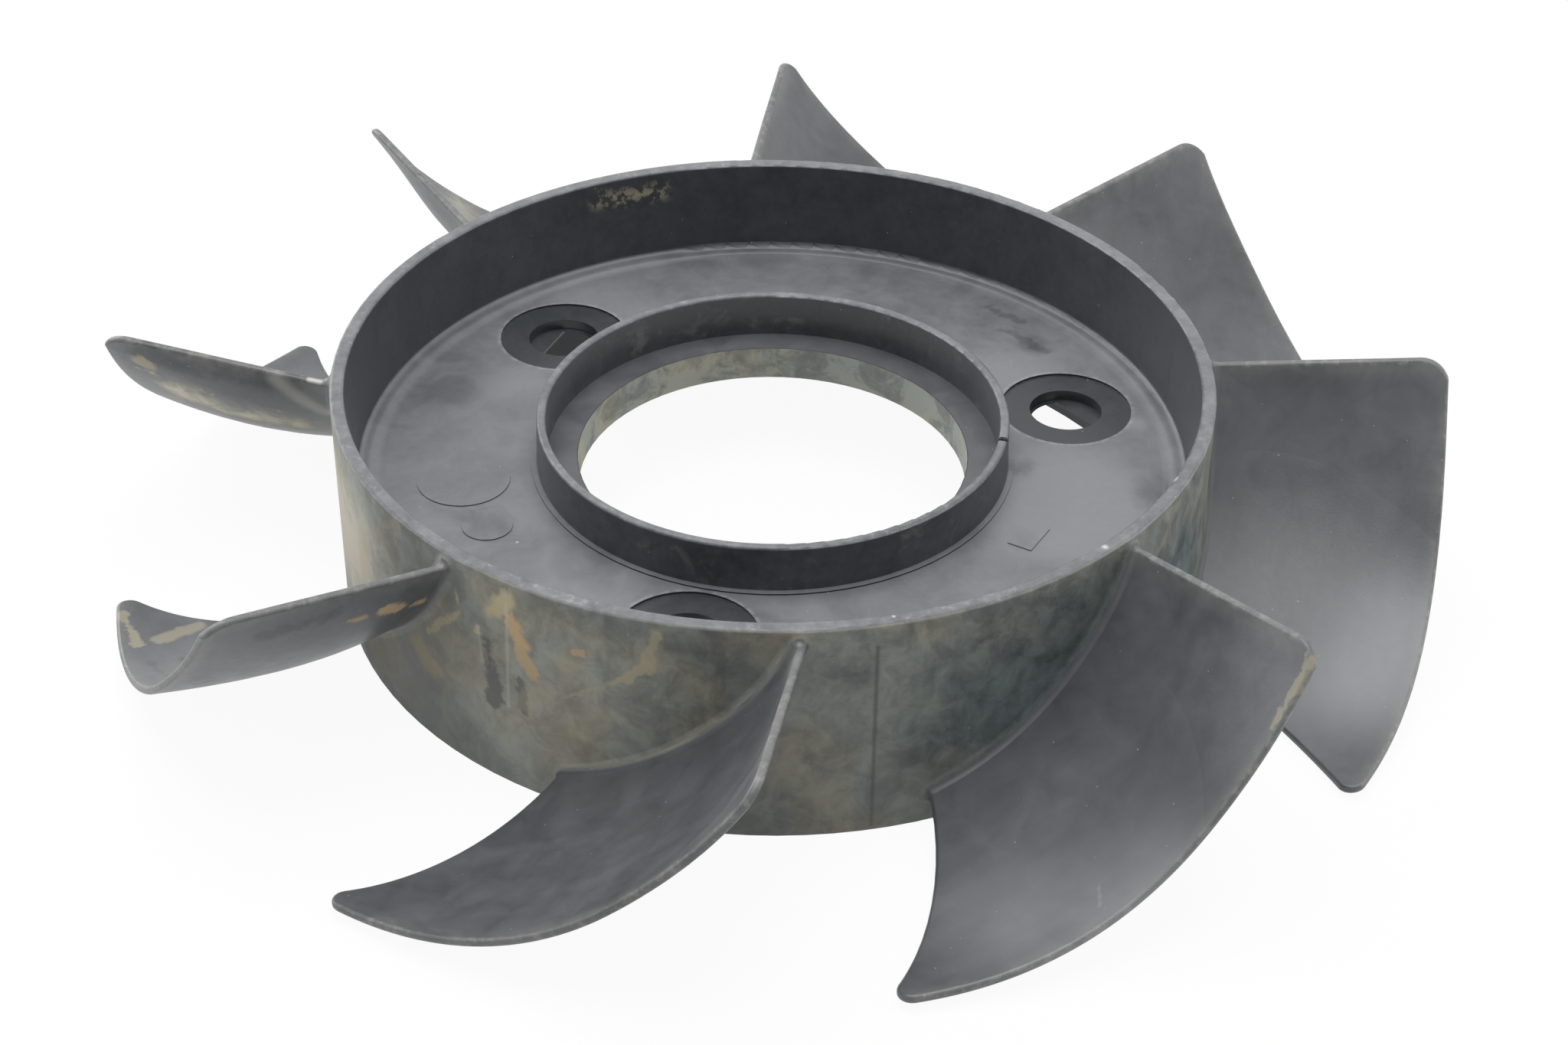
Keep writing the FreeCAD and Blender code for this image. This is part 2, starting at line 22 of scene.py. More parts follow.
# The moulding: drum, deck, collar and eight blades in one piece of dark slate
# glass-filled nylon, satin from the tool. In use it has taken on a pale film of
# dried damp, tan dust where air drags along it, and light scuffs on its edges.
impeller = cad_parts["impeller"]

NYLON = (0.020, 0.024, 0.029)
COOL_FILM = (0.38, 0.39, 0.41)
GREEN_DUST = (0.39, 0.42, 0.38)
WARM_DUST = (0.47, 0.45, 0.36)
TEAL_DUST = (0.27, 0.34, 0.34)
CREAM_DUST = (0.60, 0.56, 0.47)
TAN = (0.50, 0.44, 0.29)
ORANGE = (0.58, 0.42, 0.24)
SCUFF = (0.62, 0.61, 0.57)

RIM_HEIGHT = 61.3
RIM_OUTSIDE = 115.0
RIM_INSIDE = 111.4
WALL_FLARE = 0.4
DECK_HEIGHT = 33.6
SHOULDER_RADIUS = 105.2
COLLAR_OUTSIDE = 62.7
COLLAR_INSIDE = 60.2
COLLAR_HEIGHT = 46.6
BORE_RADIUS = 52.0
BOLT_CIRCLE = 83.6
SEAT_RADIUS = 17.9
TIP_RADIUS = 175.6
BLADE_COUNT = 8
BLADE_TURN = 13.8
BLADE_TOP_AT_RIM = 59.04
BLADE_TOP_SLOPE = 0.1417
SEAT_COUNT = 3


def feed(tree, socket, value):
    """Give a socket a plain value, or link another socket to it."""
    if isinstance(value, bpy.types.NodeSocket):
        tree.links.new(value, socket)
    else:
        socket.default_value = value


def calc(tree, operation, *values, clamp=False):
    """One step of arithmetic on numbers, held between 0 and 1 where that is asked."""
    step = tree.nodes.new("ShaderNodeMath")
    step.operation = operation
    for socket, value in zip(step.inputs, values):
        feed(tree, socket, value)
    if not clamp:
        return step.outputs[0]
    limit = tree.nodes.new("ShaderNodeClamp")
    feed(tree, limit.inputs[0], step.outputs[0])
    return limit.outputs[0]


def calc_vector(tree, operation, *values, size=None):
    """One step of arithmetic on places; some steps give a number."""
    step = tree.nodes.new("ShaderNodeVectorMath")
    step.operation = operation
    for socket, value in zip(step.inputs, values):
        feed(tree, socket, value)
    if size is not None:
        feed(tree, step.inputs["Scale"], size)
    numbers = ("LENGTH", "DISTANCE", "DOT_PRODUCT")
    return step.outputs["Value" if operation in numbers else "Vector"]


def soft_step(tree, value, start, end):
    """0 at the start and 1 at the end, with a smooth change between them."""
    step = tree.nodes.new("ShaderNodeMapRange")
    step.interpolation_type = "SMOOTHSTEP"
    step.clamp = False
    feed(tree, step.inputs["Value"], value)
    feed(tree, step.inputs["From Min"], start)
    feed(tree, step.inputs["From Max"], end)
    return step.outputs["Result"]


def between(tree, value, low, high, soft):
    """1 between two limits, fading to 0 just outside them."""
    above = soft_step(tree, value, low - soft, low + soft)
    below = soft_step(tree, value, high + soft, high - soft)
    return calc(tree, "MULTIPLY", above, below)


def product(tree, *values):
    """All the values multiplied together."""
    result = values[0]
    for value in values[1:]:
        result = calc(tree, "MULTIPLY", result, value)
    return result


def total(tree, *values):
    """All the values added together."""
    result = values[0]
    for value in values[1:]:
        result = calc(tree, "ADD", result, value)
    return result


def strongest(tree, *values):
    """The largest of the values."""
    result = values[0]
    for value in values[1:]:
        result = calc(tree, "MAXIMUM", result, value)
    return result


def coat(tree, share, under, over):
    """One colour over another, by share."""
    mix = tree.nodes.new("ShaderNodeMix")
    mix.data_type = "RGBA"
    feed(tree, mix.inputs[0], share)
    for socket, value in ((mix.inputs[6], under), (mix.inputs[7], over)):
        feed(tree, socket, (*value, 1) if isinstance(value, tuple) else value)
    return mix.outputs[2]


def cloud(tree, place, size, detail=3.0, rough=0.5, warp=0.0):
    """Drifting light and dark, with patches of about this size in millimetres."""
    noise = tree.nodes.new("ShaderNodeTexNoise")
    feed(tree, noise.inputs["Vector"], place)
    noise.inputs["Scale"].default_value = 1.0 / size
    noise.inputs["Detail"].default_value = detail
    noise.inputs["Roughness"].default_value = rough
    noise.inputs["Distortion"].default_value = warp
    return noise.outputs["Fac"]


def new_group(name, inputs, outputs):
    """An empty shader group with named sockets, and its two ends."""
    group = bpy.data.node_groups.new(name, "ShaderNodeTree")
    kinds = {"place": "NodeSocketVector", "number": "NodeSocketFloat"}
    for label, kind in inputs:
        group.interface.new_socket(label, in_out="INPUT", socket_type=kinds[kind])
    for label, kind in outputs:
        group.interface.new_socket(label, in_out="OUTPUT", socket_type=kinds[kind])
    entry = group.nodes.new("NodeGroupInput")
    leave = group.nodes.new("NodeGroupOutput")
    return group, entry.outputs, leave.inputs


def use_group(tree, group, **values):
    """A group placed in a tree, with its inputs fed by name."""
    unit = tree.nodes.new("ShaderNodeGroup")
    unit.node_tree = group
    for label, value in values.items():
        feed(tree, unit.inputs[label.replace("_", " ").title()], value)
    return unit.outputs


# A smear is a mark rubbed from one place to another; where the two are the same
# it is a round patch. Its rim is ragged by whatever is fed to Ragged, and it is
# added to the marks that came before it.
smear_group, ins, outs = new_group(
    "smear",
    [("Place", "place"), ("Start", "place"), ("End", "place"), ("Width", "number"),
     ("Fade", "number"), ("Ragged", "number"), ("Strength", "number"), ("Before", "number")],
    [("Mask", "number")],
)
along = calc_vector(smear_group, "SUBTRACT", ins["End"], ins["Start"])
offset = calc_vector(smear_group, "SUBTRACT", ins["Place"], ins["Start"])
length = calc(smear_group, "ADD", calc_vector(smear_group, "DOT_PRODUCT", along, along), 0.0001)
share = calc(smear_group, "DIVIDE", calc_vector(smear_group, "DOT_PRODUCT", offset, along), length,
             clamp=True)
nearest = calc_vector(smear_group, "SCALE", along, size=share)
gap = calc(smear_group, "ADD", calc_vector(smear_group, "DISTANCE", offset, nearest), ins["Ragged"])
core = calc(smear_group, "MULTIPLY", ins["Width"], calc(smear_group, "SUBTRACT", 1.0, ins["Fade"]))
mark = calc(smear_group, "MULTIPLY", soft_step(smear_group, gap, ins["Width"], core), ins["Strength"])
feed(smear_group, outs["Mask"], calc(smear_group, "MAXIMUM", mark, ins["Before"]))

# The places of the moulding, as masks from the distance to the axis, the height
# and the way the surface faces.
places_group, ins, outs = new_group(
    "moulding_places",
    [("Place", "place"), ("Facing", "place")],
    [("Radius", "number"), ("Height", "number"), ("Deck", "number"), ("Seat", "number"),
     ("Seat Rim Painted Highlight", "number"), ("Inner Wall", "number"), ("Outer Wall", "number"),
     ("Collar Outside", "number"), ("Collar Inside", "number"), ("Bore", "number"),
     ("Ledge", "number"), ("Rim", "number"), ("Blade", "number")],
)
split = places_group.nodes.new("ShaderNodeSeparateXYZ")
feed(places_group, split.inputs[0], ins["Place"])
level = places_group.nodes.new("ShaderNodeCombineXYZ")
feed(places_group, level.inputs[0], split.outputs[0])
feed(places_group, level.inputs[1], split.outputs[1])
radius = calc_vector(places_group, "LENGTH", level.outputs[0])
height = split.outputs[2]
face = places_group.nodes.new("ShaderNodeSeparateXYZ")
feed(places_group, face.inputs[0], ins["Facing"])
upward = soft_step(places_group, face.outputs[2], 0.3, 0.8)
sideways = calc(places_group, "SUBTRACT", 1.0, soft_step(places_group, face.outputs[2], 0.5, 0.85))
above_deck = soft_step(places_group, height, DECK_HEIGHT - 1.2, DECK_HEIGHT - 0.9)
near_deck = calc(places_group, "MULTIPLY", above_deck,
                 soft_step(places_group, height, DECK_HEIGHT + 2.6, DECK_HEIGHT + 1.4))
nearest_seat = None
for turn in range(SEAT_COUNT):
    angle = 2 * math.pi * turn / SEAT_COUNT
    middle = (BOLT_CIRCLE * math.cos(angle), BOLT_CIRCLE * math.sin(angle), 0)
    to_seat = calc_vector(places_group, "DISTANCE", level.outputs[0], middle)
    if nearest_seat is None:
        nearest_seat = to_seat
    else:
        nearest_seat = calc(places_group, "MINIMUM", nearest_seat, to_seat)
in_seat = calc(places_group, "MULTIPLY", soft_step(places_group, nearest_seat, SEAT_RADIUS + 0.2,
                                                   SEAT_RADIUS - 0.2),
               soft_step(places_group, height, DECK_HEIGHT - 0.1, DECK_HEIGHT - 0.35))
# A ring of upward-facing deck just outside each seat, which carries a painted highlight along the seat's
# edge.
seat_rim_painted_highlight = calc(places_group, "MULTIPLY", between(places_group, nearest_seat, SEAT_RADIUS,
                                                  SEAT_RADIUS + 0.9, 0.35), upward)
on_blade = soft_step(places_group, radius, RIM_OUTSIDE + 0.4, RIM_OUTSIDE + 2.0)
inside_rim = between(places_group, radius, COLLAR_OUTSIDE + 0.2, RIM_INSIDE, 0.3)
feed(places_group, outs["Radius"], radius)
feed(places_group, outs["Height"], height)
feed(places_group, outs["Blade"], on_blade)
feed(places_group, outs["Seat"], in_seat)
feed(places_group, outs["Seat Rim Painted Highlight"], product(places_group, seat_rim_painted_highlight, near_deck))
feed(places_group, outs["Deck"], product(places_group, upward, near_deck, inside_rim))
feed(places_group, outs["Inner Wall"], product(
    places_group, sideways, soft_step(places_group, height, DECK_HEIGHT + 0.6, DECK_HEIGHT + 2.0),
    between(places_group, radius, SHOULDER_RADIUS + 2.5, RIM_INSIDE + 0.3, 0.3)))
feed(places_group, outs["Outer Wall"], calc(places_group, "MULTIPLY", sideways,
                                           between(places_group, radius, RIM_OUTSIDE - 0.6,
                                                   RIM_OUTSIDE + 0.9, 0.6)))
feed(places_group, outs["Collar Outside"], product(
    places_group, sideways, above_deck,
    between(places_group, radius, COLLAR_OUTSIDE - 1.2, COLLAR_OUTSIDE + 0.6, 0.2)))
feed(places_group, outs["Collar Inside"], product(
    places_group, sideways, above_deck,
    between(places_group, radius, COLLAR_INSIDE - 0.4, COLLAR_INSIDE + 0.6, 0.2)))
feed(places_group, outs["Bore"], calc(places_group, "MULTIPLY", sideways,
                                     soft_step(places_group, radius, BORE_RADIUS + 0.9,
                                               BORE_RADIUS + 0.4)))
feed(places_group, outs["Ledge"], product(
    places_group, upward, between(places_group, radius, BORE_RADIUS + 0.2, COLLAR_INSIDE, 0.2)))
rims = strongest(
    places_group,
    product(places_group, soft_step(places_group, height, RIM_HEIGHT - 1.0, RIM_HEIGHT - 0.4),
            between(places_group, radius, RIM_INSIDE - 0.2, RIM_OUTSIDE + 0.3, 0.3)),
    product(places_group, soft_step(places_group, height, COLLAR_HEIGHT - 1.0, COLLAR_HEIGHT - 0.5),
            between(places_group, radius, COLLAR_INSIDE - 0.2, COLLAR_OUTSIDE + 0.2, 0.2)))
feed(places_group, outs["Rim"], rims)

# A blade's own place: every blade is folded on to the first one, so that all have
# the same kinds of wear, and is then moved aside, so that no two look alike.
BLADES_APART = 210.0
blade_group, ins, outs = new_group(
    "blade_places",
    [("Place", "place"), ("Radius", "number")],
    [("Own Place", "place"), ("From Top", "number"), ("Tip Edge", "number"), ("Root", "number")],
)
split = blade_group.nodes.new("ShaderNodeSeparateXYZ")
feed(blade_group, split.inputs[0], ins["Place"])
bearing = calc(blade_group, "ARCTAN2", split.outputs[1], split.outputs[0])
pitch = 2 * math.pi / BLADE_COUNT
first = math.radians(BLADE_TURN - 90)
turned = calc(blade_group, "SUBTRACT", bearing, first - pitch / 2)
wrapped = calc(blade_group, "FLOORED_MODULO", turned, 2 * math.pi)
number = calc(blade_group, "FLOOR", calc(blade_group, "DIVIDE", wrapped, pitch))
own_bearing = calc(blade_group, "SUBTRACT", wrapped, calc(blade_group, "MULTIPLY", number, pitch))
own_bearing = calc(blade_group, "SUBTRACT", own_bearing, pitch / 2)
reach = calc(blade_group, "MULTIPLY", ins["Radius"], calc(blade_group, "COSINE", own_bearing))
side = calc(blade_group, "MULTIPLY", ins["Radius"], calc(blade_group, "SINE", own_bearing))
side_apart = calc(blade_group, "MULTIPLY_ADD", number, BLADES_APART, side)
join = blade_group.nodes.new("ShaderNodeCombineXYZ")
feed(blade_group, join.inputs[0], side_apart)
feed(blade_group, join.inputs[1], reach)
feed(blade_group, join.inputs[2], split.outputs[2])
top_line = calc(blade_group, "MULTIPLY_ADD", reach, BLADE_TOP_SLOPE,
                BLADE_TOP_AT_RIM - RIM_OUTSIDE * BLADE_TOP_SLOPE)
feed(blade_group, outs["Own Place"], join.outputs[0])
feed(blade_group, outs["From Top"], calc(blade_group, "SUBTRACT", top_line, split.outputs[2]))
feed(blade_group, outs["Tip Edge"], soft_step(blade_group, ins["Radius"], TIP_RADIUS - 4.5,
                                             TIP_RADIUS - 0.3))
feed(blade_group, outs["Root"], soft_step(blade_group, ins["Radius"], RIM_OUTSIDE + 9.0,
                                         RIM_OUTSIDE + 1.0))

nylon = bpy.data.materials.new("nylon_filmed_and_dusty")
nylon.use_nodes = True
tree = nylon.node_tree
shader = tree.nodes["Principled BSDF"]
coordinates = tree.nodes.new("ShaderNodeTexCoord")
place = calc_vector(tree, "SCALE", coordinates.outputs["Object"], size=1 / MM)
where = use_group(tree, places_group, place=place, facing=coordinates.outputs["Normal"])
own = use_group(tree, blade_group, place=place, radius=where["Radius"])


def sway(value, by, amount):
    """A value moved up and down by a cloud, which lies around a half."""
    return calc(tree, "MULTIPLY_ADD", calc(tree, "SUBTRACT", by, 0.5), amount, value)


# Clouds of several sizes lie over the moulding, on each blade in its own place.
on_any_blade = soft_step(tree, where["Radius"], RIM_OUTSIDE + 0.55, RIM_OUTSIDE + 0.65)
blend_place = tree.nodes.new("ShaderNodeMix")
blend_place.data_type = "VECTOR"
feed(tree, blend_place.inputs[0], on_any_blade)
feed(tree, blend_place.inputs[4], place)
feed(tree, blend_place.inputs[5], own["Own Place"])
skin = blend_place.outputs[1]
drift = cloud(tree, skin, 42.0, detail=1.0, warp=0.4)
mottle = cloud(tree, skin, 11.0, detail=3.0, rough=0.6, warp=0.5)
fine = cloud(tree, skin, 2.6, detail=3.0, rough=0.65)
grain = cloud(tree, skin, 0.7, detail=1.0)
drawn = calc_vector(tree, "MULTIPLY", skin, (0.22, 1.0, 0.5))
streaks = cloud(tree, drawn, 5.0, detail=3.0, rough=0.6)
run_down = calc_vector(tree, "MULTIPLY", skin, (1.0, 1.0, 0.16))
runs = cloud(tree, run_down, 4.0, detail=2.0, rough=0.6)
ragged = sway(0.0, fine, 4.0)
ragged = sway(ragged, mottle, 6.0)
wavy = sway(0.0, mottle, 9.0)


def at(reach_mm, bearing_deg, height_mm):
    """A place on the moulding from its distance to the axis, bearing and height."""
    angle = math.radians(bearing_deg)
    return (reach_mm * math.cos(angle), reach_mm * math.sin(angle), height_mm)


def on_wall(bearing_deg, height_mm):
    """A place on the drum's outer wall, which flares a little towards its foot."""
    return at(RIM_OUTSIDE + WALL_FLARE * (1 - height_mm / RIM_HEIGHT), bearing_deg, height_mm)


def smear(start, end, width, fade, rim, strength=1.0, before=0.0):
    """A ragged mark from one place to another on the moulding."""
    mark = use_group(tree, smear_group, place=place, start=start, end=end, width=width,
                     fade=fade, ragged=rim, strength=strength, before=before)
    return mark["Mask"]


def marks(entries, fade=0.7, rim=ragged):
    """The strongest of several marks, each a start, an end, a half width and a strength."""
    so_far = 0.0
    for start, end, width, strength in entries:
        so_far = smear(start, end, width, fade, rim, strength, so_far)
    return so_far


def contrast(value, low, high):
    """A cloud stretched so that it runs from 0 to 1 between two of its own levels."""
    return soft_step(tree, value, low, high)


# The deck is lighter in some soft patches and darker in others, as listed, with a faint lighter line along
# some of the patches' edges.
lighter_deck_patches = [
    (80.0, 139.0, 12.0, 0.30), (95.0, 108.0, 16.0, 0.30), (77.0, 16.0, 14.0, 0.30),
    (82.0, -34.0, 26.0, 0.85), (72.0, -97.0, 16.0, 0.28), (100.5, -7.0, 4.5, 0.50),
]
darker_deck_patches = [
    (100.0, -26.0, 8.0, 0.50), (66.0, -23.0, 5.5, 0.60), (81.3, 190.4, 8.5, 0.50),
    (93.0, 146.0, 10.0, 0.30), (93.0, 21.0, 5.0, 0.30), (76.0, -46.0, 6.0, 0.35),
]
deck_patchiness = sway(0.5, mottle, 0.75)
deck_patchiness = sway(deck_patchiness, drift, 0.7)
for radius_mm, bearing_deg, size, strength in lighter_deck_patches:
    middle = at(radius_mm, bearing_deg, DECK_HEIGHT)
    deck_patchiness = calc(tree, "ADD", smear(middle, middle, size * 1.3, 1.0, wavy, strength), deck_patchiness)
for radius_mm, bearing_deg, size, strength in darker_deck_patches:
    middle = at(radius_mm, bearing_deg, DECK_HEIGHT)
    patch = smear(middle, middle, size * 1.3, 1.0, wavy, strength)
    deck_patchiness = calc(tree, "SUBTRACT", deck_patchiness, patch)
deck_film = calc(tree, "MULTIPLY_ADD", contrast(deck_patchiness, 0.05, 0.95), 0.30, 0.235)
patch_edge_line = between(tree, deck_patchiness, 0.43, 0.45, 0.018)
patch_edge_line = calc(tree, "MULTIPLY", patch_edge_line, contrast(drift, 0.45, 0.62))
deck_film = calc(tree, "MULTIPLY_ADD", patch_edge_line, 0.035, deck_film)
deck_film = sway(deck_film, fine, 0.10)

# How much film each part of the moulding carries.
uneven = sway(1.0, mottle, 1.3)
uneven_fine = sway(uneven, fine, 1.2)
brushed = sway(uneven, streaks, 0.40)
seat_amount = calc(tree, "SUBTRACT", 1.0, where["Seat"])
# Painted sheen: extra pale film lightens the low parts of the two blades at the right front, and a faint
# strip higher up on one of them, as if light from the right front made them shine.
painted_sheen_film = marks([
    ((12.0, -162.0, 8.0), (42.0, -169.0, 16.0), 28.0, 0.26),
    ((128.0, -104.0, 6.0), (142.0, -92.0, 10.0), 26.0, 0.30),
    ((76.0, -140.0, 60.0), (60.0, -158.0, 50.0), 16.0, 0.07),
], 1.0, wavy)
mid_height = calc(tree, "MULTIPLY_ADD", between(tree, where["Height"], 24.0, 44.0, 10.0), -0.34, 1.0)
film = total(
    tree,
    product(tree, where["Deck"], seat_amount, deck_film),
    product(tree, where["Seat"], 0.035, uneven_fine),
    # Painted highlight: pale film on the ring round each seat.
    product(tree, where["Seat Rim Painted Highlight"], 0.20, contrast(fine, 0.36, 0.60)),
    product(tree, where["Ledge"], 0.20, uneven),
    product(tree, where["Inner Wall"], 0.075, uneven_fine),
    product(tree, where["Collar Outside"], 0.15, uneven_fine),
    product(tree, where["Collar Inside"], 0.10, uneven_fine),
    product(tree, where["Rim"], 0.36, uneven_fine),
    product(tree, where["Blade"], 0.21, brushed, mid_height),
    product(tree, where["Blade"], own["Root"], 0.03),
    # Painted sheen on the low parts of two blades.
    calc(tree, "MULTIPLY", where["Blade"], painted_sheen_film),
)

# Dust lies in blotches on the outer wall and in the bore, greenish where thin and
# tan where thick, and it has run down a little.
blotch = cloud(tree, skin, 9.0, detail=4.0, rough=0.66, warp=0.5)
tint = cloud(tree, skin, 21.0, detail=1.0, warp=0.4)
wall_dust = calc(tree, "MULTIPLY_ADD", contrast(blotch, 0.30, 0.70), 0.34, 0.30)
wall_dust = sway(wall_dust, runs, 0.16)
wall_dust = sway(wall_dust, fine, 0.25)
wall_dust = sway(wall_dust, drift, 0.35)
# Partly painted light: these broad patches of extra cream dust make the wall lighter on its left side and
# front left.
dust_and_painted_light_left = marks([
    (on_wall(-186.0, 30.0), on_wall(-172.0, 34.0), 34.0, 0.62),
    (on_wall(-138.0, 20.0), on_wall(-124.0, 34.0), 30.0, 0.22),
], 1.0, wavy)
cream_dust = marks([
    ((-150.0, 52.0, 44.0), (-122.0, 42.0, 36.0), 13.0, 1.0),
    ((-57.0, 160.0, 33.0), (-52.0, 112.0, 50.0), 17.0, 0.60),
], 1.0, wavy)
cream_dust = calc(tree, "MULTIPLY", cream_dust, calc(tree, "MULTIPLY_ADD", contrast(blotch, 0.30, 0.62),
                                                    0.65, 0.35))
less_dust = smear(on_wall(-76.0, 30.0), on_wall(-44.0, 30.0), 36.0, 0.8, wavy, 0.15)
wall_dust = calc(tree, "SUBTRACT", calc(tree, "ADD", wall_dust, dust_and_painted_light_left), less_dust)
bore_dust = calc(tree, "MULTIPLY_ADD", contrast(blotch, 0.36, 0.68), 0.70, 0.56)
bore_dust = sway(bore_dust, fine, 0.5)
collar_dust = calc(tree, "MULTIPLY", contrast(blotch, 0.56, 0.74), 0.22)
dust = total(
    tree,
    calc(tree, "MULTIPLY", where["Outer Wall"], wall_dust),
    calc(tree, "MULTIPLY", where["Bore"], bore_dust),
    calc(tree, "MULTIPLY", strongest(tree, where["Collar Inside"], where["Collar Outside"]),
         collar_dust),
    calc(tree, "MULTIPLY", where["Blade"], cream_dust),
)
dust_colour = coat(tree, contrast(tint, 0.38, 0.62), GREEN_DUST, WARM_DUST)
dust_colour = coat(tree, calc(tree, "MULTIPLY", less_dust, 6.0, clamp=True), dust_colour, TEAL_DUST)
dust_colour = coat(tree, strongest(tree, calc(tree, "MULTIPLY", dust_and_painted_light_left, 1.6, clamp=True), cream_dust),
                   dust_colour, CREAM_DUST)

# Wear along the blades' thin edges: a tan rub some millimetres wide, lighter and
# chipped at the very edge.
near_top = soft_step(tree, own["From Top"], 6.0, 1.0)
at_top = soft_step(tree, own["From Top"], 1.5, 0.5)
edge_rub = calc(tree, "MULTIPLY", where["Blade"], strongest(tree, near_top, own["Tip Edge"]))
edge_rub = calc(tree, "MULTIPLY", edge_rub, calc(tree, "MULTIPLY_ADD", contrast(mottle, 0.35, 0.65),
                                                0.6, 0.4))
edge_line = product(tree, where["Blade"],
                    strongest(tree, at_top, soft_step(tree, where["Radius"], TIP_RADIUS - 1.4,
                                                      TIP_RADIUS - 0.4)),
                    contrast(fine, 0.46, 0.66))
rim_line = product(tree, where["Rim"], contrast(fine, 0.54, 0.68), contrast(drift, 0.40, 0.60))

# Marks of their own: smears where a wet edge dried, rubs, and deposits.
tan_marks = marks([
    (on_wall(-138.1, 55.7), on_wall(-140.5, 50.7), 3.8, 1.0),
    (on_wall(-143.1, 42.7), on_wall(-143.1, 42.7), 1.5, 0.8),
    (on_wall(-131.2, 32.5), on_wall(-124.4, 41.0), 1.3, 0.55),
    (on_wall(-124.4, 41.0), on_wall(-120.2, 48.1), 1.6, 0.75),
    (on_wall(-120.2, 48.1), on_wall(-119.2, 57.3), 2.2, 0.6),
    (on_wall(-130.0, 43.0), on_wall(-130.0, 43.0), 4.2, 0.5),
    (on_wall(-146.3, 51.7), on_wall(-145.9, 45.2), 1.0, 0.7),
    (on_wall(-145.9, 45.2), on_wall(-152.2, 32.7), 1.2, 0.65),
    (on_wall(-133.5, 33.0), on_wall(-136.0, 27.0), 4.5, 0.32),
    (on_wall(-126.0, 30.0), on_wall(-129.0, 22.0), 5.5, 0.25),
    (on_wall(-168.0, 45.0), on_wall(-169.0, 25.0), 4.0, 0.35),
    ((-160.1, 53.3, 53.5), (-122.8, 35.9, 44.3), 1.3, 0.7),
    ((-159.1, 49.6, 57.5), (-157.0, 49.0, 56.5), 3.2, 0.55),
    ((80.9, -154.3, 63.8), (71.1, -158.4, 49.6), 1.2, 0.35),
    ((-154.7, 2.8, 3.7), (-164.1, -3.0, 5.5), 3.2, 0.35),
    ((-170.6, -4.7, 6.2), (-173.5, 12.2, 4.3), 1.6, 0.40),
])
orange_marks = marks([
    (on_wall(-137.6, 50.0), on_wall(-136.2, 44.5), 3.2, 0.95),
    (on_wall(-136.6, 42.7), on_wall(-134.9, 36.8), 1.9, 0.8),
    (on_wall(-129.0, 47.5), on_wall(-128.2, 47.5), 1.4, 0.7),
    (on_wall(-155.0, 26.0), on_wall(-151.5, 22.4), 4.2, 0.30),
    ((-113.1, -65.8, 50.8), (-109.0, -63.5, 49.5), 2.6, 0.8),
    ((-105.3, -61.0, 47.6), (-104.0, -60.0, 47.0), 2.2, 0.7),
    ((-123.2, -70.0, 51.9), (-117.5, -67.5, 51.2), 1.5, 0.6),
])
finely = sway(0.0, fine, 1.2)
pale_marks = marks([
    (on_wall(-138.3, 55.0), on_wall(-138.8, 24.0), 0.8, 0.30),
    (on_wall(-143.0, 44.0), on_wall(-142.5, 34.0), 0.7, 0.22),
    (at(113.0, -61.7, RIM_HEIGHT), at(113.0, -61.7, RIM_HEIGHT), 1.3, 0.9),
    (at(111.6, -43.9, 61.0), at(111.6, -43.2, 61.0), 0.8, 0.7),
    (at(112.4, -91.5, RIM_HEIGHT), at(112.4, -91.5, RIM_HEIGHT), 0.6, 0.7),
    (at(77.7, -162.3, DECK_HEIGHT), at(77.7, -162.3, DECK_HEIGHT), 0.5, 0.6),
    (at(109.9, 147.8, 40.0), at(109.4, 147.2, 35.5), 0.35, 0.5),
    ((33.5, -156.8, 16.6), (31.0, -163.0, 15.2), 0.7, 0.30),
    ((119.5, -92.0, 10.0), (125.0, -96.5, 10.8), 0.5, 0.35),
    ((31.0, -163.0, 15.2), (29.5, -167.5, 14.4), 1.0, 0.42),
    ((-119.0, -69.4, 54.6), (-112.0, -66.3, 53.9), 0.8, 0.5),
    ((-126.1, 30.0, 58.0), (-114.0, 31.3, 45.2), 4.0, 0.35),
    ((-117.8, 26.4, 58.8), (-115.2, 25.3, 58.4), 1.2, 0.8),
], 0.9, finely)
dark_marks = marks([
    (on_wall(-141.5, 40.0), on_wall(-141.0, 23.0), 3.0, 0.75),
    (on_wall(-136.8, 33.0), on_wall(-136.5, 24.0), 2.0, 0.6),
    (at(92.0, 28.5, DECK_HEIGHT), at(93.4, 18.0, DECK_HEIGHT), 2.2, 0.35),
    (at(99.0, 28.0, DECK_HEIGHT), at(99.0, 35.0, DECK_HEIGHT), 1.6, 0.35),
    (at(70.7, 0.0, 33.0), at(70.7, 0.0, 33.0), 0.6, 0.6),
    ((21.5, -136.0, 12.0), (21.5, -136.0, 12.0), 1.5, 0.5),
    ((-158.0, 47.5, 61.0), (-122.0, 32.0, 57.0), 6.0, 0.75),
    ((-159.8, -17.3, 9.3), (-157.5, -22.0, 10.5), 2.0, 0.6),
    ((-124.4, -71.9, 56.4), (-142.3, -75.7, 56.1), 3.0, 0.45),
    ((-164.1, -31.2, 15.2), (-168.0, -18.0, 10.0), 1.8, 0.45),
])
smudge = smear(at(111.0, 101.5, 55.8), at(111.0, 92.0, 54.8), 5.5, 1.0, ragged, 0.6)
smudge = calc(tree, "MULTIPLY", smudge, contrast(fine, 0.46, 0.60))
tan_marks = strongest(tree, tan_marks, smudge)

# The tool's parting line runs straight down the wall.
seam_top, seam_foot = on_wall(-93.6, 55.0), on_wall(-93.6, 1.5)
parting_line = smear(seam_top, seam_foot, 0.9, 1.0, 0.0, 0.55)
dark_marks = strongest(tree, dark_marks, parting_line)

